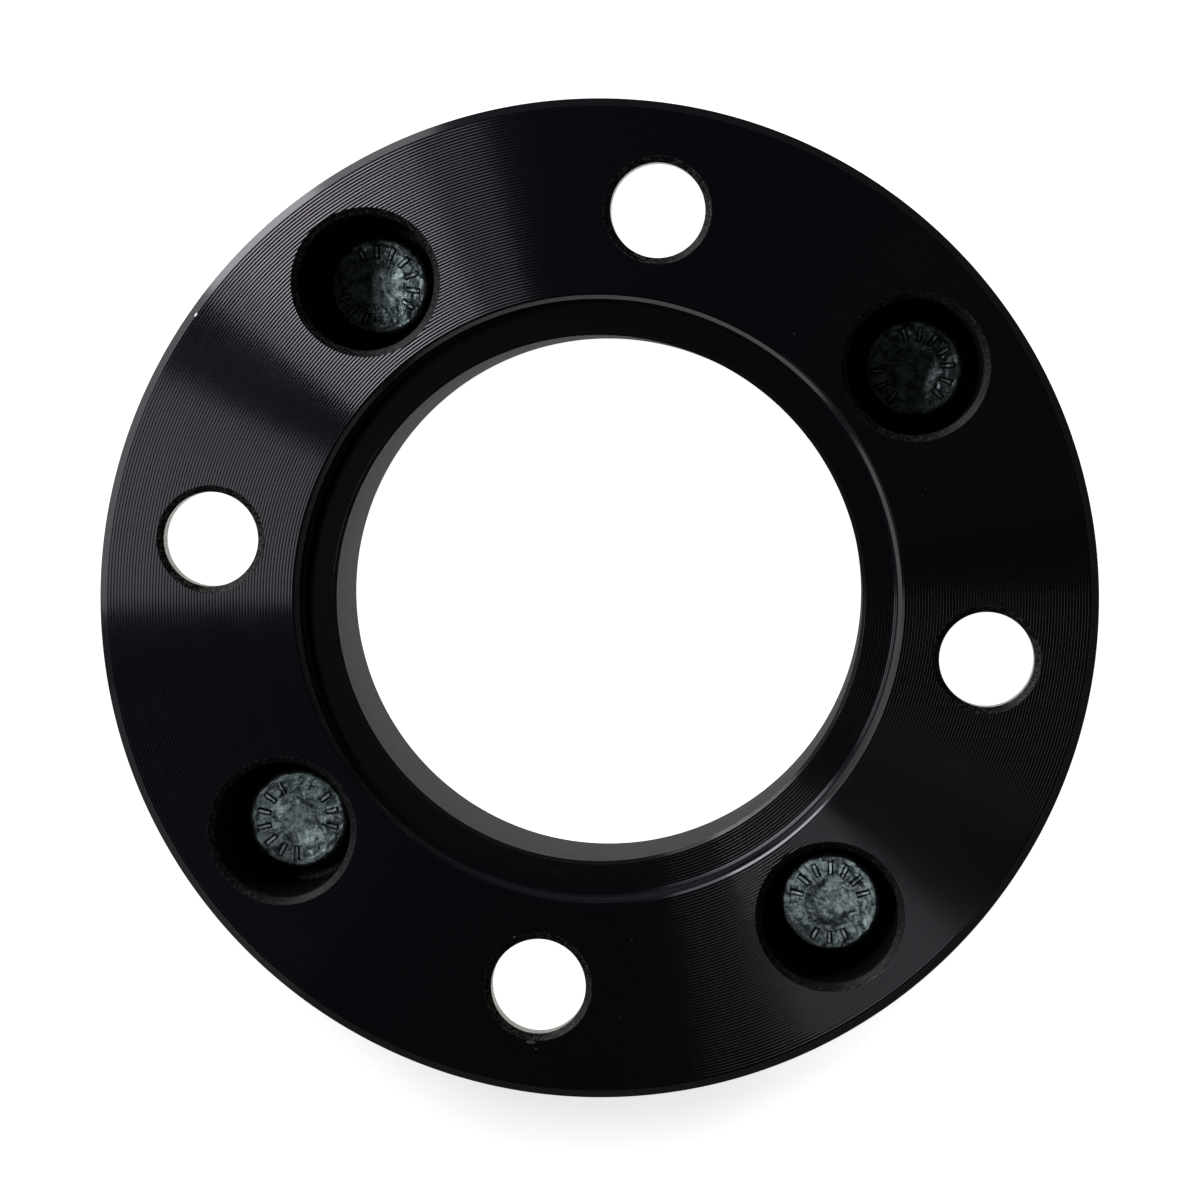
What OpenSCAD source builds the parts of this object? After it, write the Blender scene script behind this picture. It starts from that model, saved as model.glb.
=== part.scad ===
// Bolt-on wheel spacer: a turned aluminium ring that bolts to a four-stud hub and carries four wheel studs.
// The origin is the centre of the hub face. +Z points to the hub, and the studs point down to the wheel.

/* [Ring] */
// Outside diameter of the ring
ring_d = 140; // [136:1:170]
// Thickness from the hub face to the wheel face
ring_t = 38; // [34:1:60]
// Chamfer on both outer rims
rim_chamfer = 1.1; // [0.4:0.1:2]
// Diameter of the centre bore
bore_d = 74; // [60:0.5:78]
// Edge break at both ends of the bore
bore_chamfer = 0.5; // [0.2:0.1:1]

/* [Hub recess] */
// Diameter of the recess in the hub face that clears the hub's shoulder
recess_d = 84; // [81:0.5:88]
// Depth of the recess below the hub face
recess_depth = 4.5; // [2.5:0.5:7]
// Chamfer on the lip of the recess
recess_lip = 0.9; // [0.3:0.1:1.2]
// Fillet at the foot of the recess wall
recess_fillet = 0.6; // [0.2:0.1:1]

/* [Hub bolt holes] */
// Diameter of the circle that the bolt holes and the wheel studs share
bolt_circle_d = 110; // [109:0.5:112]
// Diameter of a bolt hole, which clears a hub stud and the nose of its nut
lug_hole_d = 13.3; // [11:0.1:15]
// Chamfer on a bolt hole at the hub face
lug_chamfer = 0.9; // [0.3:0.1:1.2]
// Length of a bolt hole from the hub face to its nut seat
lug_land = 5.5; // [4:0.5:9]
// Included angle of the conical nut seat
seat_angle = 60; // [50:1:90]
// Large diameter of the conical nut seat
seat_d = 20; // [18:0.5:23]
// Diameter of the pocket that lets a thin socket reach the nut
socket_d = 25; // [24:0.5:26]
// Edge break on a socket pocket at the wheel face
socket_chamfer = 0.6; // [0.2:0.1:1]

/* [Stud seats] */
// Aluminium left between a stud head and the wheel face
stud_flange = 10; // [6:0.5:13]
// Diameter of the counterbore that takes a stud head
counterbore_d = 19.1; // [17:0.1:22]
// Chamfer on a counterbore at the hub face
counterbore_chamfer = 0.9; // [0.3:0.1:1.2]
// Fillet at the foot of a counterbore
counterbore_fillet = 0.8; // [0.2:0.1:1.2]
// Edge break on a stud hole at the wheel face
stud_hole_chamfer = 0.5; // [0.2:0.1:1]

/* [Wheel studs] */
// Thread diameter of a stud
thread_d = 10; // [8:0.5:11]
// Length of thread that stands out of the wheel face
stud_reach = 26; // [15:1:45]
// Radial step from the thread down to the plain shank above it
thread_relief = 0.4; // [0.2:0.05:0.8]
// Chamfer at the tip of a stud
tip_chamfer = 1.2; // [0.5:0.1:1.5]
// Diameter of a stud head
head_d = 14.4; // [13:0.1:16]
// Height of a stud head
head_h = 4.2; // [3:0.1:5.5]
// Radius round the top edge of a stud head
head_edge_r = 0.7; // [0.3:0.1:1.2]
// Diameter of the shallow dish in the top of a stud head
dish_d = 7.4; // [5:0.1:9]
// Depth of the dish
dish_depth = 0.25; // [0.1:0.05:0.5]
// Diameter over the spline that is pressed into the ring
spline_d = 11.4; // [11.3:0.1:12.6]
// Depth of a spline groove
spline_depth = 0.45; // [0.2:0.05:0.5]
// Number of spline teeth
spline_teeth = 30; // [16:1:36]
// Length of the spline below the head
spline_length = 8; // [4:0.5:10]
// Radial gap between the spline crests and the hole
press_gap = 0.01; // [0.01:0.01:0.05]

/* [Hidden] */
$fn = 96;

// Bolt holes and wheel studs alternate round the bolt circle
station_count = 4;
station_step = 360 / station_count;
stud_phase = station_step / 2;

// Cuts run this far past the faces that they open
overcut = 1;

ring_r = ring_d / 2;
bore_r = bore_d / 2;
recess_r = recess_d / 2;
bolt_circle_r = bolt_circle_d / 2;
lug_r = lug_hole_d / 2;
seat_r = seat_d / 2;
socket_r = socket_d / 2;
counterbore_r = counterbore_d / 2;
head_r = head_d / 2;
dish_r = dish_d / 2;
thread_r = thread_d / 2;
shank_r = thread_r - thread_relief;
spline_r = spline_d / 2;
stud_hole_r = spline_r + press_gap;

// Heights along the axis
wheel_face_z = -ring_t;
seat_top_z = -lug_land;
seat_length = (seat_r - lug_r) / tan(seat_angle / 2);
socket_floor_z = seat_top_z - seat_length;
stud_seat_z = wheel_face_z + stud_flange;
stud_tip_z = wheel_face_z - stud_reach;

// A tooth's crest takes this share of its pitch, and the two flanks take as much again
crest_share = 0.34;
flank_share = 0.17;

// Lead-in at the foot of the spline, down to the plain shank
spline_lead = spline_r - shank_r;

// Slope of the dish's side, and how far the side runs inwards
dish_slope = 20;
dish_run = dish_depth / tan(dish_slope);

anodised_black = [0.035, 0.034, 0.04];
phosphated_steel = [0.2, 0.22, 0.22];

// Copies of the children at each station of the bolt circle, turned by phase
module on_bolt_circle(phase) {
    for (i = [0:station_count - 1]) {
        rotate(phase + i * station_step)
            translate([bolt_circle_r, 0, 0])
                children();
    }
}

// Half-section of the turned ring, with chamfered rims
module ring_section() {
    difference() {
        polygon([
            [bore_r, 0],
            [ring_r - rim_chamfer, 0],
            [ring_r, -rim_chamfer],
            [ring_r, wheel_face_z + rim_chamfer],
            [ring_r - rim_chamfer, wheel_face_z],
            [bore_r + bore_chamfer, wheel_face_z],
            [bore_r, wheel_face_z + bore_chamfer]
        ]);
        recess_section();
    }
}

// Half-section of the recess in the hub face: chamfered lip, filleted foot and the edge break of the bore
module recess_section() {
    difference() {
        polygon([
            [bore_r - overcut, overcut],
            [recess_r + recess_lip + overcut, overcut],
            [recess_r, -recess_lip],
            [recess_r, -recess_depth],
            [bore_r + bore_chamfer, -recess_depth],
            [bore_r - overcut, -recess_depth - bore_chamfer - overcut]
        ]);
        inner_fillet(recess_r, -recess_depth, recess_fillet);
    }
}

// Fillet in the corner between a floor at height z and a wall at radius r outside it, rooted in both
module inner_fillet(r, z, fillet) {
    root = fillet / 2;
    translate([r - fillet, z + fillet])
        difference() {
            translate([0, -fillet - root])
                square(fillet + root);
            circle(fillet);
        }
}

// Half-section of a bolt hole: chamfer, land, conical nut seat and socket pocket
module lug_hole_section() {
    polygon([
        [0, overcut],
        [lug_r + lug_chamfer + overcut, overcut],
        [lug_r, -lug_chamfer],
        [lug_r, seat_top_z],
        [seat_r, socket_floor_z],
        [socket_r, socket_floor_z],
        [socket_r, wheel_face_z + socket_chamfer],
        [socket_r + socket_chamfer + overcut, wheel_face_z - overcut],
        [0, wheel_face_z - overcut]
    ]);
}

// Half-section of a stud seat: deep counterbore with a filleted foot, and the hole that grips the spline
module stud_seat_section() {
    difference() {
        polygon([
            [0, overcut],
            [counterbore_r + counterbore_chamfer + overcut, overcut],
            [counterbore_r, -counterbore_chamfer],
            [counterbore_r, stud_seat_z],
            [stud_hole_r, stud_seat_z],
            [stud_hole_r, wheel_face_z + stud_hole_chamfer],
            [stud_hole_r + stud_hole_chamfer + overcut, wheel_face_z - overcut],
            [0, wheel_face_z - overcut]
        ]);
        inner_fillet(counterbore_r, stud_seat_z, counterbore_fillet);
    }
}

// Turned ring, drilled on the bolt circle
module spacer_body() {
    color(anodised_black)
        difference() {
            rotate_extrude()
                ring_section();
            on_bolt_circle(0)
                rotate_extrude()
                    lug_hole_section();
            on_bolt_circle(stud_phase)
                rotate_extrude()
                    stud_seat_section();
        }
}

// Half-section of a stud without its spline: dished head, plain shank, and thread from the wheel face to the tip
module stud_section() {
    head_top_z = stud_seat_z + head_h;
    difference() {
        polygon([
            [0, head_top_z - dish_depth],
            [dish_r - dish_run, head_top_z - dish_depth],
            [dish_r, head_top_z],
            [head_r, head_top_z],
            [head_r, stud_seat_z],
            [shank_r, stud_seat_z],
            [shank_r, wheel_face_z + thread_relief],
            [thread_r, wheel_face_z],
            [thread_r, stud_tip_z + tip_chamfer],
            [thread_r - tip_chamfer, stud_tip_z],
            [0, stud_tip_z]
        ]);
        translate([head_r - head_edge_r, head_top_z - head_edge_r])
            difference() {
                square(head_edge_r + overcut);
                circle(head_edge_r);
            }
    }
}

// Outline of the spline, one flat-crested tooth after another
module spline_outline() {
    tooth_step = 360 / spline_teeth;
    root_r = spline_r - spline_depth;
    crest_half = tooth_step * crest_share / 2;
    foot_half = crest_half + tooth_step * flank_share;
    corners = [[-foot_half, root_r], [-crest_half, spline_r], [crest_half, spline_r], [foot_half, root_r]];
    polygon([
        for (i = [0:spline_teeth - 1])
            for (corner = corners)
                corner[1] * [cos(i * tooth_step + corner[0]), sin(i * tooth_step + corner[0])]
    ]);
}

// Splined length below the head, tapered at its foot to lead into the hole
module spline() {
    foot_z = stud_seat_z - spline_length;
    intersection() {
        translate([0, 0, foot_z])
            linear_extrude(spline_length)
                spline_outline();
        rotate_extrude()
            polygon([
                [0, stud_seat_z],
                [spline_r + overcut, stud_seat_z],
                [spline_r + overcut, foot_z + spline_lead + overcut],
                [shank_r, foot_z],
                [0, foot_z]
            ]);
    }
}

// Press-in wheel stud at a numbered station
module wheel_stud(station) {
    color(phosphated_steel)
        rotate(stud_phase + (station - 1) * station_step)
            translate([bolt_circle_r, 0, 0])
                union() {
                    rotate_extrude()
                        stud_section();
                    spline();
                }
}

spacer_body();
for (station = [1:station_count]) {
    wheel_stud(station);
}
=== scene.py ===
"""Dressed model of a bolt-on wheel spacer: turned ring, pressed-in wheel studs, and their stage."""
import math

import bpy
import numpy as np
from bpy.props import FloatProperty, FloatVectorProperty, IntProperty, PointerProperty
from mathutils import Matrix, Vector


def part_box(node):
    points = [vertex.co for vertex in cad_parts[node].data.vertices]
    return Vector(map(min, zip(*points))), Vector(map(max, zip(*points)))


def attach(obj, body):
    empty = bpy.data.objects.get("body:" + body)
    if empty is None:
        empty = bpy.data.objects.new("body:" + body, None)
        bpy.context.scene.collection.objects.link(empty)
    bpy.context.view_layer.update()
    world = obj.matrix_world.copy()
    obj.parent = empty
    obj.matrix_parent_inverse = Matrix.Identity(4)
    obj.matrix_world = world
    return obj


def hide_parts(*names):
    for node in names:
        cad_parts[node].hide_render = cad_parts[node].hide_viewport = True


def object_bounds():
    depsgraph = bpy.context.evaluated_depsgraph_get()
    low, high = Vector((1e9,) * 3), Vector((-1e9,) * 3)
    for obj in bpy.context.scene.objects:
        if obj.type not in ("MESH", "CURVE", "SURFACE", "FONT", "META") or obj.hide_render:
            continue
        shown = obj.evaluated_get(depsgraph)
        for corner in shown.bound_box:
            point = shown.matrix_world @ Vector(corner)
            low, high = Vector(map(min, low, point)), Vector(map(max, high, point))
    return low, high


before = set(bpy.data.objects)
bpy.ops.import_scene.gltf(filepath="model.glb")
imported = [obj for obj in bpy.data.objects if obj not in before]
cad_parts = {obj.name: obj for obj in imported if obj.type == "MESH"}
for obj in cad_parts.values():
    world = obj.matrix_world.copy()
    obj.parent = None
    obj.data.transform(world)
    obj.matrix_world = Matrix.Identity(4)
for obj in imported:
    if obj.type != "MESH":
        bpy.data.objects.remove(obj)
CAD_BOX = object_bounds()
RING_LOW, RING_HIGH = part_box("spacer_body")
STUD_LOW, STUD_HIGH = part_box("wheel_stud_1")
STUD_NODES = ("wheel_stud_1", "wheel_stud_2", "wheel_stud_3", "wheel_stud_4")
PIECES = ("turned_ring", "pressed_stud_1", "pressed_stud_2", "pressed_stud_3", "pressed_stud_4")

bl_info = {
    "name": "Wheel spacer",
    "version": (1, 0, 0),
    "blender": (4, 5, 0),
    "location": "3D View > Sidebar > Spacer",
    "description": "Turned wheel spacer with pressed-in studs, and a stage for it",
    "category": "Object",
}

# Turned surfaces have this many columns in each of the eight sectors that hold a hole
SECTORS = 8
ARC_COLUMNS = 48
SIDE_COLUMNS = 24
HOLE_COLUMNS = 2 * (ARC_COLUMNS + SIDE_COLUMNS)
SECTOR_ROWS = 4

# Columns round a stud's head and spline, and round its thread
HEAD_COLUMNS = 360
THREAD_COLUMNS = 72
THREAD_ROWS_PER_TURN = 16

# Rows of a stud's grid: dish and flat, rounded edge, side of the head, spline, and lead-in at its foot
TOP_ROWS, BEND_ROWS, SIDE_ROWS = 64, 12, 8
SPLINE_ROWS, LEAD_ROWS = 5, 8

# Material slots of the ring
FACE, WALL, BORE, DRILLED, LAND = range(5)

# Points nearer than this are one point
WELD = 1e-7

# Edges of a stud that turn by more degrees than this are sharp
SHARP_TURN = 38

# An eased corner takes at most this share of the shorter of its two sides
EASE_SHARE = 0.45

# Rows and columns of a table of noise
NOISE_TABLE = 64

# How far each stud's head is turned about its own axis, in degrees
HEAD_TURNS = (-52.0, -38.0, 112.0, 8.0)

# Arcs of raised ticks on a head: first and last direction in degrees, number of ticks,
# and middle radius and half length of a tick in metres
TICK_ARCS = ((165, 15, 7, 0.00495, 0.00095), (-115, -65, 3, 0.00505, 0.00085))

# Half width of a tick at its top and at its foot, and half the run of its sloping ends
TICK_TOP, TICK_FOOT, TICK_END = 0.00017, 0.00042, 0.0001

# Forging noise of a head: cell in metres and weight
SKIN_WAVES = ((0.0011, 1.0), (0.00047, 0.55), (0.00022, 0.12))

# The dish loses this share of the noise, which comes back between these two radii
CALM_SHARE, CALM_FROM, CALM_TO = 0.5, 0.0024, 0.0034

# Down the side of the head the noise fades between these two distances from the flat
SKIN_FADE = (0.0014, 0.0018)

# Edge break under a head, and how far a shank reaches up into its spline
HEAD_BREAK = 0.0003
SHANK_OVERLAP = 0.0003

# Half of a spline tooth's crest and one of its flanks, as shares of the tooth's pitch
CREST_HALF, FLANK = 0.17, 0.17

# How flat the crests and roots of a thread are
THREAD_FLATNESS = 1.7

# Bright nicks on the hub face: place, half length and half width in millimetres, and direction in degrees
NICKS = (
    (0.3, -62.75, 0.62, 0.20, 4.0),
    (1.05, -63.6, 0.16, 0.09, 30.0),
    (-4.38, -48.56, 0.16, 0.12, 80.0),
    (-61.7, 30.9, 0.30, 0.16, 64.0),
)

# Tool lines at the foot and on the lip of the recess: inner and outer radius in metres,
# and slope along the radius
RECESS_LINES = ((0.04145, 0.04170, -0.55), (0.04190, 0.04255, -0.45))

# Turned walls: name, distance between two lines in metres, roughness, its change, and specular level
OUTER_WALL = ("anodised_outer_wall", 0.0003, 0.30, 0.06, 0.4)
BORE_WALL = ("anodised_bore_wall", 0.0005, 0.74, 0.15, 0.27)

# Distance between two reamer lines in a bolt hole, in metres
REAM_FEED = 0.0004

# Collections of the pieces that a lamp may light
LIT = {"pieces_alone": PIECES, "studs_alone": PIECES[1:], "upper_right_stud": PIECES[1:2]}

# Tint of an upright lamp, and of one that starts below the hub face
PANEL_TINT, FOOT_TINT = (0.97, 0.98, 1.0), (0.91, 1.0, 0.97)

# Upright lamps: name, stage value of the radiance, direction and half width in degrees,
# and distance from the axis, foot and top in metres
STANDING_PANELS = (
    ("panel_left", "side", 177.5, 13.75, 0.45, 0.03, 0.25),
    ("panel_left_foot", "side", 172.5, 19.25, 0.45, -0.062, 0.03),
    ("panel_upper_left", "key", 143.6, 9.85, 0.45, 0.05, 0.16),
    ("panel_upper_left_side", "key_side", 128.75, 5.0, 0.45, 0.05, 0.16),
    ("panel_upper_left_edge", "key_edge", 119.25, 4.5, 0.45, 0.05, 0.16),
    ("panel_upper_left_middle", "key_middle", 138.75, 10.75, 0.45, 0.0, 0.05),
    ("panel_upper_left_foot", "key_foot", 144.25, 8.5, 0.45, -0.062, 0.0),
    ("panel_upper_left_middle_edge", "key_foot_edge", 123.25, 6.5, 0.45, 0.0, 0.05),
    ("panel_upper_left_foot_edge", "key_foot_edge", 128.0, 7.75, 0.45, -0.062, 0.0),
    ("card_lower_left", "card", 220.75, 20.0, 0.5, -0.062, 0.03),
)

# Small lamps above the face: name, stage value of the radiance, what it lights, width and height,
# place, and aim, which is a stud's head
SMALL_PANELS = (
    ("panel_high_left", "high", "pieces_alone", 0.087, 0.04,
     (-0.165, 0.026, 0.266), (-0.039, 0.039, -0.024)),
    ("panel_far_left", "far_left", "upper_right_stud", 0.03, 0.03,
     (-0.116, 0.070, 0.266), (0.039, 0.039, -0.024)),
    ("panel_low_right", "low_right", "studs_alone", 0.03, 0.024,
     (0.0220, -0.0775, 0.175), (0.039, -0.039, -0.024)),
    ("panel_low_left", "low_left", "studs_alone", 0.03, 0.024,
     (-0.0602, -0.0690, 0.175), (-0.039, -0.039, -0.024)),
)

# Lamp that lights the floor alone: width and height, and place
OVER_FLOOR = (0.10, 0.126, (0.0151, 0.1190, 0.9))

# Floor: radii of its rings, columns round it, and radii between which it dims
FLOOR_RADII = (0.0, 0.3, 1.0, 6.0, 40.0)
FLOOR_COLUMNS = 96
FLOOR_DIM = (0.16, 0.34)

# Painted shadow on the floor, where its glow is lowered so that the lamp's shadow shows there alone:
# its direction, the cosines of the angle from it between which it grows, and the radii of its inner edge
SHADOW_SIDE = (0.120, -0.993, 0.0)
SHADOW_SPREAD = (0.64, 0.985)
SHADOW_EDGE = (0.066, 0.072)

# Camera: width of its sensor in millimetres, and nearest and farthest distance that it sees
SENSOR = 36.0
CLIP = (0.01, 100.0)


def length(name, default, description):
    """Length property in metres."""
    return FloatProperty(name=name, description=description, default=default, precision=5,
                         unit="LENGTH", subtype="DISTANCE")


def colour(name, default, description):
    """Linear colour property."""
    return FloatVectorProperty(name=name, description=description, default=default, size=3,
                               min=0, max=1, subtype="COLOR")


def number(name, default, description):
    """Plain number property."""
    return FloatProperty(name=name, description=description, default=default)


def degrees(name, default, description):
    """Angle property, given in degrees."""
    return FloatProperty(name=name, description=description, default=math.radians(default),
                         subtype="ANGLE", unit="ROTATION")


def point(name, default, description):
    """Point property in metres."""
    return FloatVectorProperty(name=name, description=description, default=default, precision=5,
                               unit="LENGTH", subtype="TRANSLATION")


class SPACER_PG_ring(bpy.types.PropertyGroup):
    """Sizes of the turned ring."""

    radius: length("Outside radius", round(RING_HIGH.x, 4), "Outside of the ring")
    thickness: length("Thickness", round(RING_HIGH.z - RING_LOW.z, 4), "From the hub face to the wheel face")
    rim_chamfer: length("Rim chamfer", 0.0011, "Chamfer on both outer rims")
    bore_radius: length("Bore radius", 0.037, "Centre bore")
    bore_chamfer: length("Bore edge", 0.0005, "Edge break at both ends of the bore")
    recess_radius: length("Recess radius", 0.042, "Recess in the hub face")
    recess_depth: length("Recess depth", 0.0045, "Depth of the recess")
    recess_lip: length("Recess lip", 0.0009, "Chamfer on the lip of the recess")
    recess_fillet: length("Recess fillet", 0.0006, "Fillet at the foot of the recess wall")
    bolt_radius: length("Bolt circle", 0.055, "Radius of the circle of bolt holes and studs")
    lug_radius: length("Bolt hole", 0.00665, "Radius of a bolt hole")
    lug_chamfer: length("Bolt hole chamfer", 0.0009, "Chamfer of a bolt hole at the hub face")
    lug_land: length("Bolt hole land", 0.0055, "Length of a bolt hole above its nut seat")
    seat_radius: length("Nut seat", 0.010, "Large radius of the conical nut seat")
    seat_angle: degrees("Seat angle", 60, "Included angle of the nut seat")
    socket_radius: length("Socket pocket", 0.0125, "Radius of the pocket round a nut")
    socket_chamfer: length("Pocket edge", 0.0006, "Edge break of a pocket at the wheel face")
    well_radius: length("Stud well", 0.00955, "Radius of the counterbore over a stud head")
    well_chamfer: length("Stud well chamfer", 0.0009, "Chamfer of a stud well at the hub face")
    well_fillet: length("Stud well fillet", 0.0008, "Fillet at the foot of a stud well")
    flange: length("Stud flange", 0.010, "Aluminium between a stud head and the wheel face")
    stud_hole_radius: length("Stud hole", 0.00571, "Radius of the hole that grips a spline")
    stud_hole_chamfer: length("Stud hole edge", 0.0005, "Edge break of a stud hole at the wheel face")
    edge: length("Edge rounding", 0.00012, "Radius left on every machined edge")


class SPACER_PG_stud(bpy.types.PropertyGroup):
    """Sizes of a wheel stud."""

    head_radius: length("Head radius", 0.0072, "Outside of the head")
    head_top: length("Head top", round(STUD_HIGH.z, 5), "Height of the head's top in the shared frame")
    head_height: length("Head height", 0.0042, "Height of the head above its seat")
    head_edge: length("Head edge", 0.0007, "Radius round the top edge of the head")
    dish_radius: length("Dish radius", 0.0039, "Shallow dish in the top of the head")
    dish_floor: length("Dish floor", 0.0020, "Radius of the flat floor of the dish")
    dish_depth: length("Dish depth", 0.00025, "Depth of the dish")
    mark_height: length("Mark height", 0.00032, "Height of the raised ticks on the head")
    skin: length("Forging skin", 0.000062, "Unevenness of the forged skin")
    spline_radius: length("Spline radius", 0.0057, "Over the teeth of the spline")
    spline_depth: length("Spline depth", 0.00045, "Depth of a spline groove")
    spline_length: length("Spline length", 0.008, "Length of the spline below the head")
    spline_teeth: IntProperty(name="Spline teeth", description="Number of teeth", default=30, min=8)
    shank_radius: length("Shank radius", 0.0046, "Plain shank between spline and thread")
    thread_radius: length("Thread radius", 0.005, "Crest of the thread")
    thread_depth: length("Thread depth", 0.00074, "From crest to root")
    thread_pitch: length("Thread pitch", 0.00125, "Rise of the thread in one turn")
    thread_top: length("Thread top", round(RING_LOW.z, 4), "Height where the thread reaches its full size")
    tip: length("Tip", round(STUD_LOW.z, 4), "Height of the stud's tip")
    tip_chamfer: length("Tip chamfer", 0.0012, "Chamfer at the tip")


class SPACER_PG_finish(bpy.types.PropertyGroup):
    """Colours and tool marks."""

    anodised: colour("Anodised black", (0.0026, 0.0022, 0.0058), "Dyed oxide of the ring")
    anodised_pale: colour("Anodised bloom", (0.0086, 0.0075, 0.0148), "Paler patches of the oxide")
    # Recess floor colour: partly a greyer oxide, partly painted light standing in for the soft light that
    # floor catches
    recess_floor_oxide_and_light: colour("Recess floor", (0.0160, 0.0152, 0.0180), "Greyer oxide on the floor of the recess")
    oxide_gloss: colour("Oxide gloss", (1.0, 0.92, 1.0), "Tint of the reflections of the oxide")
    drilled_grain: colour("Drilled grain", (0.050, 0.048, 0.052), "Paler grain of the drilled edges")
    chamfer_grain: colour("Chamfer grain", (0.085, 0.081, 0.066), "Paler grains on the chamfers of the holes")
    land_gloss: colour("Bolt hole gloss", (1.0, 0.92, 0.80), "Tint of the reflections of a bolt hole's wall")
    bare: colour("Bare aluminium", (0.62, 0.62, 0.63), "Metal in the bottom of a nick")
    dust: colour("Dust", (0.16, 0.15, 0.14), "Specks of dust and fine chips")
    phosphate: colour("Phosphate", (0.23, 0.285, 0.295), "Coating of the studs")
    # Darker patches of the coating, also painted as shade on the slopes round ticks and thread crests
    phosphate_patch_and_shade: colour("Phosphate shade", (0.034, 0.045, 0.048), "Darker patches of the coating")
    # Paler crest colour of ticks and threads: partly rubbed metal, partly painted glints
    phosphate_rub_and_glint: colour("Phosphate crest", (0.33, 0.385, 0.39), "Rubbed crests of ticks and threads")
    feed: length("Turning feed", 0.00042, "Distance between two turning grooves of a face")
    groove_slope: number("Groove slope", 0.60, "Mean outward slope of a groove's long side")
    groove_swing: number("Groove swing", 0.22, "Change of that slope across the long side")
    back_share: number("Back share", 0.08, "Share of the feed that a groove's short side takes")
    back_slope: number("Back slope", 1.00, "Inward slope of the short side")


class SPACER_PG_stage(bpy.types.PropertyGroup):
    """Camera, lamps and floor."""

    camera_place: point("Camera", (0.028165, 0.029425, 0.777181), "Place of the camera")
    camera_aim: point("Aim", (0.000343, -0.000024, 0.0), "Point that the camera looks at")
    camera_roll: degrees("Roll", 8.746, "Turn of the camera about its line of sight")
    lens: number("Lens", 166.96, "Focal length in millimetres on a 36 mm sensor")
    key: number("Key", 6.3, "Radiance of the panel at the upper left")
    key_side: number("Key side", 4.8, "Radiance of that panel's dimmer side")
    key_edge: number("Key edge", 1.35, "Radiance of that panel's fading edge")
    key_middle: number("Key middle", 9.2, "Radiance of that panel's middle")
    key_foot: number("Key foot", 6.1, "Radiance of that panel's foot")
    key_foot_edge: number("Key foot edge", 2.0, "Radiance of the fading edge of the middle and the foot")
    side: number("Side", 1.55, "Radiance of the panel at the left")
    high: number("High", 19.0, "Radiance of the small panel high on the left")
    far_left: number("Far left panel", 45.0, "Radiance of the panel for the upper right stud")
    low_right: number("Low right", 20.0, "Radiance of the small panel over the lower right stud")
    low_left: number("Low left", 6.4, "Radiance of the small panel over the lower left stud")
    card: number("Card", 0.35, "Radiance of the low white card")
    ambient: number("Ambient", 0.04, "Strength of the dim room")
    floor: colour("Floor", (0.86, 0.86, 0.86), "Pale floor")
    floor_glow: colour("Floor glow", (1.0, 0.975, 0.90), "Colour of the floor in reflections")
    over_floor: number("Over floor", 67.0, "Radiance of the panel that lights the floor alone")
    floor_dip: number("Floor dip", 0.225, "Share of the floor's white that the shadow can take")
    near_floor: number("Near floor", 0.85, "Brightness of the floor in reflections, near the object")
    far_floor: number("Far floor", 0.12, "Brightness of the floor in reflections, away from the object")


def left_of(step):
    """Directions of travel turned a quarter to the left."""
    return np.stack([-step[..., 1], step[..., 0]], -1)


def eased_section(corners, steps=4):
    """Half-section whose inner corners are arcs tangent to both sides.

    `corners` holds (radius, height, easing) rows. An arc of the easing radius R starts R tan(turn / 2)
    before its corner. Gives the points and their normals, which lie to the left of the direction of travel.
    """
    corners = np.asarray(corners, float)
    place, ease = corners[:, :2], corners[:, 2]
    step = np.diff(place, axis=0)
    span = np.linalg.norm(step, axis=1)
    step = step / span[:, None]
    points, normals = [place[:1]], [left_of(step[:1])]
    for i in range(1, len(place) - 1):
        before, after = step[i - 1], step[i]
        turn = math.atan2(before[0] * after[1] - before[1] * after[0], before @ after)
        half = math.tan(abs(turn) / 2)
        back = min(ease[i] * half, EASE_SHARE * min(span[i - 1], span[i]))
        bend = math.copysign(back / half, turn)
        angle = turn * np.linspace(0, 1, steps + 1)
        way = np.stack([before[0] * np.cos(angle) - before[1] * np.sin(angle),
                        before[0] * np.sin(angle) + before[1] * np.cos(angle)], -1)
        centre = place[i] - before * back + bend * left_of(before)
        points.append(centre - bend * left_of(way))
        normals.append(left_of(way))
    points.append(place[-1:])
    normals.append(left_of(step[-1:]))
    return np.concatenate(points), np.concatenate(normals)


def revolved(corners, angles, centre=(0.0, 0.0)):
    """Section and normals carried round an upright axis: (r, z) goes to (cx + r cos a, cy + r sin a, z)."""
    points, normals = eased_section(corners)
    c, s = np.cos(angles), np.sin(angles)

    def turned(section, cx, cy):
        return np.stack([cx + np.outer(section[:, 0], c), cy + np.outer(section[:, 0], s),
                         np.repeat(section[:, 1:2], len(angles), 1)], -1)

    return turned(points, *centre), turned(normals, 0.0, 0.0)


def hole_angles(middle):
    """Directions of the columns round a hole whose sector points along `middle`."""
    return middle + (np.arange(HOLE_COLUMNS + 1) - ARC_COLUMNS / 2) * 2 * math.pi / HOLE_COLUMNS


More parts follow.
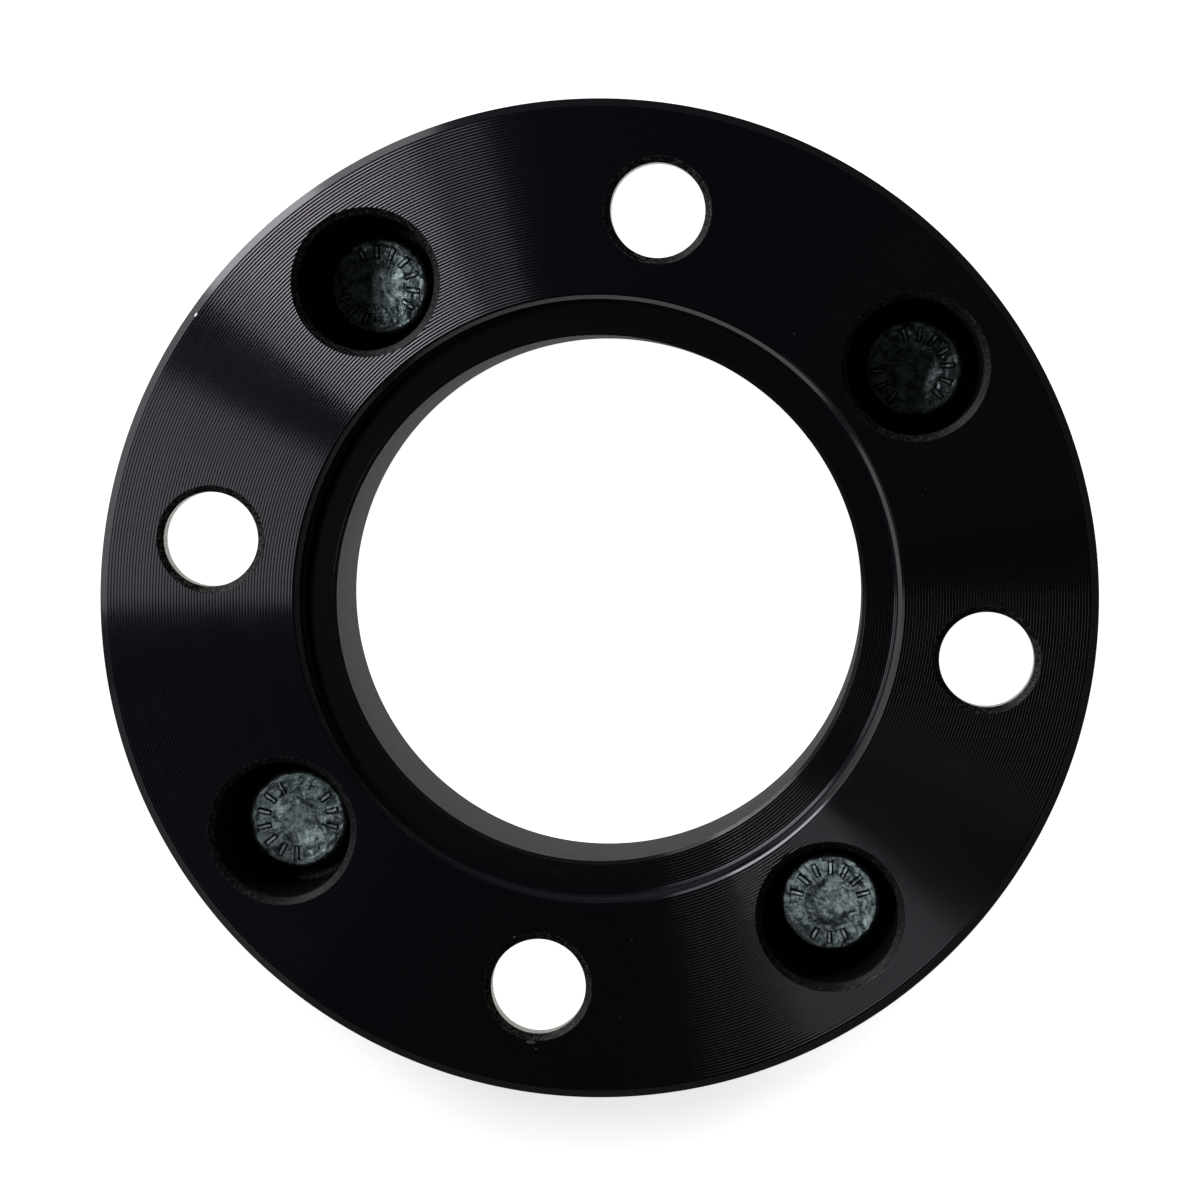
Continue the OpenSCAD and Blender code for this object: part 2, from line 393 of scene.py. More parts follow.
def drilled_sector(middle, hole_centre, hole_radius, inner, outer, height, up):
    """Flat sector round one hole: straight lines from rim to outline, (1 - v) rim + v outline.

    The outline runs along the outer arc, down one side, back along the inner arc and up the other side.
    """
    half = math.pi / SECTORS
    sweep = np.linspace(-half, half, ARC_COLUMNS + 1)
    fall = np.linspace(outer, inner, SIDE_COLUMNS + 1)
    angle = middle + np.concatenate([sweep, np.full(SIDE_COLUMNS, half),
                                     sweep[::-1][1:], np.full(SIDE_COLUMNS, -half)])
    radius = np.concatenate([np.full(ARC_COLUMNS + 1, outer), fall[1:],
                             np.full(ARC_COLUMNS, inner), fall[::-1][1:]])
    outline = np.stack([radius * np.cos(angle), radius * np.sin(angle)], -1)
    round_hole = hole_angles(middle)
    rim = np.asarray(hole_centre) + hole_radius * np.stack([np.cos(round_hole), np.sin(round_hole)], -1)
    v = np.linspace(0, 1, SECTOR_ROWS + 1)[:, None, None]
    flat = (1 - v) * rim + v * outline
    points = np.concatenate([flat, np.full(flat.shape[:2] + (1,), height)], -1)
    normals = np.zeros_like(points)
    normals[..., 2] = 1 if up else -1
    return points, normals


def grid_faces(rows, columns, first, flip):
    """Four corners of every cell of a grid of points, the outer side up unless flipped."""
    index = first + np.arange(rows * columns).reshape(rows, columns)
    cells = np.stack([index[:-1, :-1], index[1:, :-1], index[1:, 1:], index[:-1, 1:]], -1).reshape(-1, 4)
    return cells[:, ::-1] if flip else cells


def make_piece(name, patches, materials, values=None):
    """One mesh from grids of points. Points that meet are welded, and cells shrunk to a line are dropped.

    A patch is (points, normals or None, material number, flip).
    `values` is one number per point, kept as the attribute "crest".
    """
    points = np.concatenate([p[0].reshape(-1, 3) for p in patches])
    first, cells, slots = 0, [], []
    for grid, _, slot, flip in patches:
        made = grid_faces(*grid.shape[:2], first, flip)
        cells.append(made)
        slots.append(np.full(len(made), slot))
        first += grid.shape[0] * grid.shape[1]
    cells, slots = np.concatenate(cells), np.concatenate(slots)
    _, origin, welded = np.unique(np.round(points / WELD).astype(np.int64), axis=0,
                                  return_index=True, return_inverse=True)
    corner = welded.reshape(-1)[cells]
    kept = corner != np.roll(corner, -1, 1)
    whole = kept.sum(1) > 2
    corner, kept, cells, slots = corner[whole], kept[whole], cells[whole], slots[whole]
    mesh = bpy.data.meshes.new(name)
    mesh.vertices.add(len(origin))
    mesh.vertices.foreach_set("co", points[origin].astype(np.float32).ravel())
    mesh.loops.add(int(kept.sum()))
    mesh.loops.foreach_set("vertex_index", corner[kept].astype(np.int32))
    mesh.polygons.add(len(cells))
    starts = np.concatenate([[0], np.cumsum(kept.sum(1))[:-1]])
    mesh.polygons.foreach_set("loop_start", starts.astype(np.int32))
    mesh.polygons.foreach_set("material_index", slots.astype(np.int32))
    mesh.update(calc_edges=True)
    if mesh.validate():
        raise RuntimeError(f"{name} has faces that don't hold together")
    mesh.shade_smooth()
    if patches[0][1] is None:
        mesh.set_sharp_from_angle(angle=math.radians(SHARP_TURN))
    else:
        normals = np.concatenate([p[1].reshape(-1, 3) for p in patches])
        mesh.normals_split_custom_set(normals[cells[kept]].tolist())
    if values is not None:
        layer = mesh.attributes.new("crest", "FLOAT", "POINT")
        layer.data.foreach_set("value", values[origin].astype(np.float32))
    for material in materials:
        mesh.materials.append(material)
    piece = bpy.data.objects.new(name, mesh)
    bpy.context.scene.collection.objects.link(piece)
    return piece


def ring_patches(s):
    """Grids of the turned ring: revolved outside, recess and bore, and eight drilled sectors on each face."""
    bottom, e = -s.thickness, s.edge
    trim = e * math.tan(math.radians(45) / 2)
    face_out, face_in = s.radius - s.rim_chamfer - trim, s.recess_radius + s.recess_lip + trim
    back_in = s.bore_radius + s.bore_chamfer + trim
    one_sector = np.linspace(-0.5, 0.5, ARC_COLUMNS + 1)[:-1]
    round_ring = np.concatenate([one_sector + i for i in range(SECTORS)] + [[SECTORS - 0.5]])
    round_ring = round_ring * 2 * math.pi / SECTORS
    patches = []

    def add(corners, slot, angles=round_ring, centre=(0.0, 0.0)):
        patches.append((*revolved(corners, angles, centre), slot, False))

    add([(face_out, 0, 0), (s.radius - s.rim_chamfer, 0, e),
         (s.radius - s.rim_chamfer / 2, -s.rim_chamfer / 2, 0)], FACE)
    wall_top = -s.rim_chamfer - 3 * trim
    add([(s.radius - s.rim_chamfer / 2, -s.rim_chamfer / 2, 0), (s.radius, -s.rim_chamfer, e),
         (s.radius, wall_top, 0)], FACE)
    add([(s.radius, wall_top, 0), (s.radius, bottom + s.rim_chamfer, e),
         (s.radius - s.rim_chamfer, bottom, e), (face_out, bottom, 0)], WALL)
    bore_high = -s.recess_depth - 2 * s.bore_chamfer
    add([(back_in, bottom, 0), (s.bore_radius + s.bore_chamfer, bottom, e),
         (s.bore_radius, bottom + s.bore_chamfer, e), (s.bore_radius, bore_high, 0)], BORE)
    add([(s.bore_radius, bore_high, 0), (s.bore_radius, -s.recess_depth - s.bore_chamfer, e),
         (s.bore_radius + s.bore_chamfer, -s.recess_depth, e),
         (s.recess_radius, -s.recess_depth, s.recess_fillet), (s.recess_radius, -s.recess_lip, e),
         (s.recess_radius + s.recess_lip, 0, e), (face_in, 0, 0)], FACE)

    seat_foot = -s.lug_land - (s.seat_radius - s.lug_radius) / math.tan(s.seat_angle / 2)
    well_floor = bottom + s.flange
    for i in range(SECTORS):
        middle = i * 2 * math.pi / SECTORS
        centre = (s.bolt_radius * math.cos(middle), s.bolt_radius * math.sin(middle))
        angles = hole_angles(middle)
        if i % 2 == 0:
            top, low = s.lug_radius + s.lug_chamfer, s.socket_radius + s.socket_chamfer
            land_low, land_high = -s.lug_land + e, -s.lug_chamfer - e
            add([(low + trim, bottom, 0), (low, bottom, e), (s.socket_radius, bottom + s.socket_chamfer, e),
                 (s.socket_radius, seat_foot, 2 * e), (s.seat_radius, seat_foot, e),
                 (s.lug_radius, -s.lug_land, e), (s.lug_radius, land_low, 0)], DRILLED, angles, centre)
            add([(s.lug_radius, land_low, 0), (s.lug_radius, land_high, 0)], LAND, angles, centre)
            add([(s.lug_radius, land_high, 0), (s.lug_radius, -s.lug_chamfer, e),
                 (top, 0, e), (top + trim, 0, 0)], DRILLED, angles, centre)
        else:
            top, low = s.well_radius + s.well_chamfer, s.stud_hole_radius + s.stud_hole_chamfer
            add([(low + trim, bottom, 0), (low, bottom, e),
                 (s.stud_hole_radius, bottom + s.stud_hole_chamfer, e), (s.stud_hole_radius, well_floor, e),
                 (s.well_radius, well_floor, s.well_fillet), (s.well_radius, -s.well_chamfer, e),
                 (top, 0, e), (top + trim, 0, 0)], DRILLED, angles, centre)
        hub_face = drilled_sector(middle, centre, top + trim, face_in, face_out, 0.0, True)
        wheel_face = drilled_sector(middle, centre, low + trim, back_in, face_out, bottom, False)
        patches.append((*hub_face, FACE, False))
        patches.append((*wheel_face, FACE, True))
    return patches


def lattice_noise(x, y, cell, seed):
    """Smooth noise: random values on a square lattice, blended across each cell by the cubic 3t^2 - 2t^3."""
    table = np.random.default_rng(seed).uniform(-1, 1, (NOISE_TABLE, NOISE_TABLE))
    u, v = x / cell, y / cell
    i, j = np.floor(u).astype(int), np.floor(v).astype(int)
    fu, fv = u - i, v - j
    fu, fv = fu * fu * (3 - 2 * fu), fv * fv * (3 - 2 * fv)

    def at(a, b):
        return table[a % NOISE_TABLE, b % NOISE_TABLE]

    low = at(i, j) * (1 - fu) + at(i + 1, j) * fu
    high = at(i, j + 1) * (1 - fu) + at(i + 1, j + 1) * fu
    return low * (1 - fv) + high * fv


def soft_step(x, start, end):
    """Cubic rise from 0 at `start` to 1 at `end`."""
    t = np.clip((x - start) / (end - start), 0, 1)
    return t * t * (3 - 2 * t)


def raised_ticks(radius, angle):
    """Share of the tick height: arcs of short radial bars, each a box with soft sides and ends."""
    share = np.zeros_like(radius)
    rows = [(math.radians(direction), middle, half_length)
            for first, last, count, middle, half_length in TICK_ARCS
            for direction in np.linspace(first, last, count)]
    for direction, middle, half_length in rows:
        off = (angle - direction + math.pi) % (2 * math.pi) - math.pi
        across, along = np.abs(radius * np.sin(off)), np.abs(radius * np.cos(off) - middle)
        side = 1 - soft_step(across, TICK_TOP, TICK_FOOT)
        end = 1 - soft_step(along, half_length - TICK_END, half_length + TICK_END)
        share = np.maximum(share, np.where(np.abs(off) < 1.0, side * end, 0))
    return share


def head_grid(s, turn, seed):
    """Head, spline and lead-in as one grid of a section (rows) carried round the axis (columns).

    The top is a dish that ends in a rounded edge. Ticks and forging noise lift it along its normal.
    On the spline the radius runs from root to crest and back once per tooth.
    """
    angle = np.linspace(0, 2 * math.pi, HEAD_COLUMNS + 1)
    seat, flat = s.head_top - s.head_height, s.head_radius - s.head_edge
    top_r = np.linspace(0, flat, TOP_ROWS)
    bend = np.linspace(0, math.pi / 2, BEND_ROWS)[1:]
    side_z = np.linspace(s.head_top - s.head_edge, seat + HEAD_BREAK, SIDE_ROWS)[1:]
    r = np.concatenate([top_r, flat + s.head_edge * np.sin(bend), np.full(len(side_z), s.head_radius)])
    z = np.concatenate([s.head_top - s.dish_depth * (1 - soft_step(top_r, s.dish_floor, s.dish_radius)),
                        s.head_top - s.head_edge * (1 - np.cos(bend)), side_z])
    nr = np.concatenate([np.zeros(len(top_r)), np.sin(bend), np.ones(len(side_z))])
    nz = np.concatenate([np.ones(len(top_r)), np.cos(bend), np.zeros(len(side_z))])
    along = np.concatenate([top_r, flat + s.head_edge * bend,
                            flat + s.head_edge * math.pi / 2 + (side_z[0] - side_z)])
    reach, round_head = along[:, None] + 0 * angle, angle + 0 * along[:, None]
    x, y = reach * np.cos(round_head), reach * np.sin(round_head)
    skin = sum(weight * lattice_noise(x, y, cell, seed + i)
               for i, (cell, weight) in enumerate(SKIN_WAVES))
    ticks = raised_ticks(reach, round_head - math.radians(turn))
    calm = 1 - CALM_SHARE * (1 - soft_step(reach, CALM_FROM, CALM_TO))
    fade = 1 - soft_step(reach, flat + SKIN_FADE[0], flat + SKIN_FADE[1])
    lift = s.mark_height * ticks + s.skin * calm * skin * fade
    lift[0] = lift[0].mean()
    head_r, head_z = r[:, None] + lift * nr[:, None], z[:, None] + lift * nz[:, None]

    tooth = (angle * s.spline_teeth / (2 * math.pi) + 0.5) % 1 - 0.5
    crest = s.spline_radius - s.spline_depth * np.clip((np.abs(tooth) - CREST_HALF) / FLANK, 0, 1)
    lead = s.spline_radius - s.shank_radius
    foot = seat - s.spline_length
    spline_z = np.concatenate([np.linspace(seat, foot + lead, SPLINE_ROWS),
                               np.linspace(foot + lead, foot, LEAD_ROWS)[1:]])[:, None] + 0 * angle
    spline_r = np.minimum(crest, s.shank_radius + np.maximum(spline_z - foot, 0))
    under_r = np.stack([np.full_like(angle, s.head_radius - HEAD_BREAK), crest])
    radius = np.concatenate([head_r, under_r, spline_r[1:], np.zeros((1, len(angle)))])
    height = np.concatenate([head_z, np.full_like(under_r, seat), spline_z[1:],
                             np.full((1, len(angle)), foot)])
    grid = np.stack([radius * np.cos(angle), radius * np.sin(angle), height], -1)
    crest_share = np.zeros(grid.shape[:2])
    crest_share[: len(ticks)] = ticks
    return grid, crest_share


def thread_grid(s):
    """Plain shank and right-hand thread, capped by the run-in and the tip chamfer.

    r = middle radius + half depth x flattened cosine of (z / pitch - angle / whole turn).
    """
    angle = np.linspace(0, 2 * math.pi, THREAD_COLUMNS + 1)
    seat = s.head_top - s.head_height
    start = seat - s.spline_length + SHANK_OVERLAP
    rows = int(round((start - s.tip) / s.thread_pitch * THREAD_ROWS_PER_TURN))
    z = np.linspace(start, s.tip, rows + 1)[:, None] + 0 * angle
    wave = np.cos(2 * math.pi * (z / s.thread_pitch - angle / (2 * math.pi)))
    wave = np.tanh(THREAD_FLATNESS * wave) / math.tanh(THREAD_FLATNESS)
    thread = s.thread_radius - s.thread_depth * (1 - wave) / 2
    run_in = s.shank_radius + np.maximum(s.thread_top + (s.thread_radius - s.shank_radius) - z, 0)
    tip = s.thread_radius - s.tip_chamfer + (z - s.tip)
    plain = z > s.thread_top + (s.thread_radius - s.shank_radius)
    radius = np.minimum(np.where(plain, s.shank_radius, np.minimum(thread, run_in)), tip)
    end = np.zeros((1, len(angle)))
    radius = np.concatenate([end, radius, end])
    z = np.concatenate([z[:1], z, z[-1:]])
    crest_share = np.concatenate([end, np.where(plain, 0, soft_step(wave, 0.7, 1.0)), end])
    return np.stack([radius * np.cos(angle), radius * np.sin(angle), z], -1), crest_share


class Finish:
    """Node tree of one material, with short calls for its nodes."""

    def __init__(self, name):
        self.material = bpy.data.materials.new(name)
        self.material.use_nodes = True
        self.tree = self.material.node_tree
        self.tree.nodes.clear()
        self.coords = self.node("ShaderNodeTexCoord").outputs["Object"]

    def node(self, kind, *values, **settings):
        """New node. Values go to its inputs in order; sockets are linked, and None leaves an input alone."""
        made = self.tree.nodes.new(kind)
        for key, value in settings.items():
            setattr(made, key, value)
        for socket, value in zip(made.inputs, values):
            self.feed(socket, value)
        return made

    def feed(self, socket, value):
        """Link or value for one input."""
        if isinstance(value, bpy.types.NodeSocket):
            self.tree.links.new(value, socket)
        elif value is not None:
            socket.default_value = value

    def math(self, operation, *values):
        return self.node("ShaderNodeMath", *values, operation=operation).outputs[0]

    def vector(self, operation, *values):
        made = self.node("ShaderNodeVectorMath", *values, operation=operation)
        return made.outputs["Value" if operation in ("LENGTH", "DOT_PRODUCT") else "Vector"]

    def spread(self, value, low, high, to_low=0.0, to_high=1.0):
        """Value taken from one range to another, and held at the ends."""
        return self.node("ShaderNodeMapRange", value, low, high, to_low, to_high).outputs[0]

    def noise(self, scale, detail, roughness=0.5):
        made = self.node("ShaderNodeTexNoise", self.coords)
        self.feed(made.inputs["Scale"], scale)
        self.feed(made.inputs["Detail"], detail)
        self.feed(made.inputs["Roughness"], roughness)
        return made.outputs[0]

    def mix(self, share, first, second):
        """Colour between two colours."""
        made = self.node("ShaderNodeMix", data_type="RGBA")
        for index, value in ((0, share), (6, first), (7, second)):
            self.feed(made.inputs[index], (*value, 1.0) if isinstance(value, tuple) else value)
        return made.outputs[2]

    def blend(self, share, first, second):
        """Number between two numbers."""
        made = self.node("ShaderNodeMix", data_type="FLOAT")
        for index, value in ((0, share), (2, first), (3, second)):
            self.feed(made.inputs[index], value)
        return made.outputs[0]

    def bump(self, height, distance, under=None):
        made = self.node("ShaderNodeBump")
        self.feed(made.inputs["Strength"], 1.0)
        self.feed(made.inputs["Distance"], distance)
        self.feed(made.inputs["Height"], height)
        if under is not None:
            self.feed(made.inputs["Normal"], under)
        return made.outputs[0]

    def specks(self, scale, size, share):
        """Small round dots, one in some of the cells of a Voronoi pattern."""
        cells = self.node("ShaderNodeTexVoronoi", self.coords)
        self.feed(cells.inputs["Scale"], scale)
        chance = self.node("ShaderNodeSeparateColor", cells.outputs["Color"]).outputs[0]
        dot = self.math("LESS_THAN", cells.outputs["Distance"], size)
        return self.math("MULTIPLY", dot, self.math("LESS_THAN", chance, share))

    def shader(self, **inputs):
        """Principled surface with the given inputs, as the material's output."""
        made = self.node("ShaderNodeBsdfPrincipled")
        for key, value in inputs.items():
            socket = made.inputs[key.replace("_", " ") if key != "Specular" else "Specular IOR Level"]
            self.feed(socket, (*value, 1.0) if isinstance(value, tuple) and len(value) == 3 else value)
        out = self.node("ShaderNodeOutputMaterial")
        self.tree.links.new(made.outputs[0], out.inputs["Surface"])
        return self.material


def nick_mask(f):
    """Share of bare metal: the inside of small ellipses on the hub face."""
    total = None
    for x, y, along, across, turn in NICKS:
        place = f.node("ShaderNodeMapping", f.coords, (x / 1000, y / 1000, -0.0003),
                       (0, 0, math.radians(turn)), (along / 1000, across / 1000, 0.0011),
                       vector_type="TEXTURE").outputs[0]
        rough = f.vector("ADD", place, f.vector("SCALE", f.noise(2600, 1.0), None, None, 0.5))
        spot = f.spread(f.vector("LENGTH", rough), 1.25, 1.0)
        total = spot if total is None else f.math("MAXIMUM", total, spot)
    return total


def turned_finish(c):
    """Black anodised turned face.

    Its grooves lean the normal along the radius: outwards by mean slope + swing x sin(phase) over the long
    side of a groove, and inwards by the back slope over the short side. Chamfers and walls, whose normals
    already lean, have no grooves, and the steepest are rough. The recess floor has no swing and a paler
    colour, partly a greyer oxide and partly painted light that stands in for the soft light the floor
    catches.
    """
    f = Finish("anodised_turned_face")
    across = f.vector("MULTIPLY", f.coords, (1, 1, 0))
    radius = f.vector("LENGTH", across)
    turns = f.math("DIVIDE", radius, c.feed)
    phase = f.math("FRACT", turns)
    chance = f.node("ShaderNodeTexWhiteNoise", noise_dimensions="1D")
    f.feed(chance.inputs["W"], f.math("FLOOR", turns))
    uneven = f.spread(chance.outputs[0], 0.0, 1.0, 0.985, 1.015)
    wave = f.math("SINE", f.math("MULTIPLY", phase, 2 * math.pi))
    height = f.node("ShaderNodeSeparateXYZ", f.coords).outputs[2]
    hub_side = f.math("GREATER_THAN", height, RING_LOW.z / 2)
    recess = f.math("MULTIPLY", f.math("LESS_THAN", radius, RECESS_LINES[0][0]), hub_side)
    swing = f.blend(recess, c.groove_swing, 0.0)
    slope = f.math("MULTIPLY", f.math("MULTIPLY_ADD", wave, swing, c.groove_slope), uneven)
    slope = f.blend(f.math("LESS_THAN", phase, c.back_share), slope, -c.back_slope)
    normal = f.node("ShaderNodeNewGeometry").outputs["Normal"]
    upright = f.math("ABSOLUTE", f.node("ShaderNodeSeparateXYZ", normal).outputs[2])
    level = f.spread(upright, 0.93, 0.99)
    slope = f.math("MULTIPLY", slope, level)
    for inner, outer, line_slope in RECESS_LINES:
        line = f.math("MULTIPLY", f.math("GREATER_THAN", radius, inner), f.math("LESS_THAN", radius, outer))
        slope = f.blend(f.math("MULTIPLY", line, hub_side), slope, line_slope)
    lean = f.vector("SCALE", f.vector("NORMALIZE", across), None, None, slope)
    grooves = f.vector("NORMALIZE", f.vector("ADD", normal, lean))
    bloom = f.spread(f.noise(38.0, 4.0), 0.42, 0.72)
    dust = f.specks(420.0, 0.045, 0.06)
    bare = nick_mask(f)
    pale = f.math("MULTIPLY", f.spread(wave, -0.2, 0.8), f.spread(bloom, 0.0, 1.0, 0.6, 1.0))
    base = f.mix(pale, tuple(c.anodised), tuple(c.anodised_pale))
    # Painted light: the recess floor is paler, partly its greyer oxide and partly in place of the soft light
    # it catches
    base = f.mix(recess, base, tuple(c.recess_floor_oxide_and_light))
    base = f.mix(bare, f.mix(dust, base, tuple(c.dust)), tuple(c.bare))
    edge = f.spread(upright, 0.60, 0.69, 0.65, 0.14)
    rough = f.blend(level, edge, f.spread(f.noise(120.0, 3.0), 0.3, 0.7, 0.13, 0.17))
    rough = f.blend(f.math("MAXIMUM", dust, bare), rough, 0.5)
    return f.shader(Base_Color=base, Roughness=rough, Metallic=bare,
                    Specular_Tint=tuple(c.oxide_gloss), Normal=grooves)


def wall_finish(c, name, feed, roughness, vary, specular):
    """Black anodised turned wall: fine lines round the axis, one per feed of height, rougher in streaks."""
    f = Finish(name)
    height = f.node("ShaderNodeSeparateXYZ", f.coords).outputs[2]
    wander = f.math("MULTIPLY_ADD", f.noise(60.0, 1.0), 0.00012, height)
    wave = f.math("SINE", f.math("MULTIPLY", wander, 2 * math.pi / feed))
    streak = f.node("ShaderNodeTexNoise", noise_dimensions="1D")
    f.feed(streak.inputs["W"], f.math("MULTIPLY", height, 900.0))
    lines = f.bump(f.math("MULTIPLY", wave, f.spread(streak.outputs[0], 0.35, 0.7, 0.3, 1.5)), 0.000009)
    grain = f.bump(f.noise(4200.0, 2.0), 0.000005, lines)
    bloom = f.spread(f.noise(50.0, 3.0), 0.4, 0.7)
    base = f.mix(bloom, tuple(c.anodised), tuple(c.anodised_pale))
    base = f.mix(f.specks(300.0, 0.05, 0.10), base, tuple(c.dust))
    rough = f.spread(streak.outputs[0], 0.3, 0.7, roughness - vary, roughness + vary)
    return f.shader(Base_Color=base, Roughness=rough, Specular=specular, Normal=grain)


def drilled_finish(c):
    """Matte black of the drilled holes: a grain of pits, paler where the tool broke the skin.

    Chamfers are less matte. Those of the bolt holes, which lie on the X and Y axes, have more pale grains.
    """
    f = Finish("anodised_drilled")
    grain = f.noise(2600.0, 3.0, 0.65)
    pits = f.bump(grain, 0.000045)
    normal = f.node("ShaderNodeNewGeometry").outputs["Normal"]
    upright = f.math("ABSOLUTE", f.node("ShaderNodeSeparateXYZ", normal).outputs[2])
    chamfer = f.spread(upright, 0.2, 0.5)
    base = f.mix(f.spread(grain, 0.50, 0.70), tuple(c.anodised), tuple(c.drilled_grain))
    away = f.node("ShaderNodeSeparateXYZ", f.vector("ABSOLUTE", f.coords)).outputs
    grained = f.spread(f.math("MINIMUM", away[0], away[1]), 0.012, 0.024, 1.0, 0.3)
    grained = f.math("MULTIPLY", f.math("MULTIPLY", chamfer, grained), f.spread(grain, 0.48, 0.62))
    base = f.mix(grained, base, tuple(c.chamfer_grain))
    base = f.mix(f.specks(700.0, 0.10, 0.16), base, tuple(c.dust))
    rough = f.blend(chamfer, 0.85, f.spread(grain, 0.3, 0.7, 0.42, 0.60))
    return f.shader(Base_Color=base, Roughness=rough, Specular=0.30, Normal=pits)


def land_finish(c):
    """Reamed wall of a bolt hole: smooth, with faint lines round it and a warm gloss."""
    f = Finish("anodised_bolt_hole")
    height = f.node("ShaderNodeSeparateXYZ", f.coords).outputs[2]
    lines = f.bump(f.math("SINE", f.math("MULTIPLY", height, 2 * math.pi / REAM_FEED)), 0.000003)
    base = f.mix(f.spread(f.noise(900.0, 3.0), 0.4, 0.7), tuple(c.anodised_pale), tuple(c.drilled_grain))
    rough = f.spread(f.noise(1500.0, 2.0), 0.3, 0.7, 0.20, 0.32)
    return f.shader(Base_Color=base, Roughness=rough, Specular_Tint=tuple(c.land_gloss), Normal=lines)


def phosphate_finish(c):
    """Phosphated steel: mottled coating over a pitted forging.

    The crests of ticks and threads are paler, partly rubbed bare and partly a painted highlight, and the
    slopes round them are darkened with painted shade.
    """
    f = Finish("phosphated_steel")
    crest = f.node("ShaderNodeAttribute", attribute_name="crest").outputs["Fac"]
    patch = f.noise(700.0, 3.0, 0.6)
    fine = f.noise(2600.0, 4.0, 0.75)
    pits = f.bump(fine, 0.00004, f.bump(patch, 0.00007))
    mottle = f.math("MULTIPLY_ADD", fine, 0.45, f.math("MULTIPLY", patch, 0.55))
    base = f.mix(f.spread(mottle, 0.40, 0.59), tuple(c.phosphate_patch_and_shade), tuple(c.phosphate))
    # Painted highlight and wear: the crests of ticks and threads are paler in specks, partly rubbed and
    # partly painted glints
    base = f.mix(f.math("MULTIPLY", crest, f.spread(fine, 0.3, 0.6)), base, tuple(c.phosphate_rub_and_glint))
    # Painted shade: the slopes round the crests of ticks and threads are darkened towards the dark patch
    # colour
    foot = f.math("MULTIPLY", crest, f.math("SUBTRACT", 1.0, crest))
    base = f.mix(f.spread(foot, 0.04, 0.16, 0.0, 0.75), base, tuple(c.phosphate_patch_and_shade))
    rough = f.spread(fine, 0.3, 0.7, 0.38, 0.28)
    return f.shader(Base_Color=base, Roughness=rough, Metallic=0.9, Normal=pits)


class SPACER_OT_turned_ring(bpy.types.Operator):
    """Make the turned ring with its recess, bolt holes, nut pockets and stud wells"""

    bl_idname = "spacer.turned_ring"
    bl_label = "Turned ring"

    def execute(self, context):
        sizes, c = context.scene.spacer_ring, context.scene.spacer_finish
        finishes = [turned_finish(c), wall_finish(c, *OUTER_WALL), wall_finish(c, *BORE_WALL),
                    drilled_finish(c), land_finish(c)]
        ring = make_piece("turned_ring", ring_patches(sizes), finishes)
        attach(ring, "root")
        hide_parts("spacer_body")
        return {"FINISHED"}


class SPACER_OT_wheel_studs(bpy.types.Operator):
    """Make the four pressed-in wheel studs with forged head, spline and thread"""

    bl_idname = "spacer.wheel_studs"
    bl_label = "Wheel studs"

    def execute(self, context):
        sizes, finish = context.scene.spacer_stud, phosphate_finish(context.scene.spacer_finish)
        thread, thread_crest_share = thread_grid(sizes)
        for number, (node, turn) in enumerate(zip(STUD_NODES, HEAD_TURNS), 1):
            low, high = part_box(node)
            place = np.array([(low.x + high.x) / 2, (low.y + high.y) / 2, 0.0])
            head, head_crest_share = head_grid(sizes, turn, 10 * number)
            patches = [(head + place, None, 0, True), (thread + place, None, 0, True)]
            values = np.concatenate([head_crest_share.ravel(), thread_crest_share.ravel()])
            stud = make_piece(f"pressed_stud_{number}", patches, [finish], values)
            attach(stud, "root")
            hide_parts(node)
        return {"FINISHED"}


def collection_of(name, objects):
    """Collection that names the objects a lamp may light."""
    made = bpy.data.collections.new(name)
    for item in objects:
        made.objects.link(item)
    return made


def panel_lamp(name, radiance, width, height, place, aim, lit, tint=(1.0, 1.0, 1.0)):
    """Flat lamp that faces `aim` and lights one collection. Radiance is power over pi times the area."""
    lamp = bpy.data.lights.new(name, "AREA")
    lamp.shape, lamp.size, lamp.size_y = "RECTANGLE", width, height
    lamp.energy, lamp.color = radiance * math.pi * width * height, tint
    stand = bpy.data.objects.new(name, lamp)
    facing = (Vector(aim) - Vector(place)).to_track_quat("-Z", "Y").to_matrix().to_4x4()
    stand.matrix_world = Matrix.Translation(place) @ facing
    stand.visible_camera = False
    stand.light_linking.receiver_collection = lit
    bpy.context.scene.collection.objects.link(stand)


def standing_panel(name, radiance, azimuth, half_angle, distance, low, high, lit):
    """Upright lamp as wide as an angle seen from the axis. One that starts below the hub face is greener."""
    a = math.radians(azimuth)
    place = (distance * math.cos(a), distance * math.sin(a), (low + high) / 2)
    width = 2 * distance * math.tan(math.radians(half_angle))
    tint = FOOT_TINT if low < 0 else PANEL_TINT
    panel_lamp(name, radiance, width, high - low, place, (0, 0, place[2]), lit, tint)


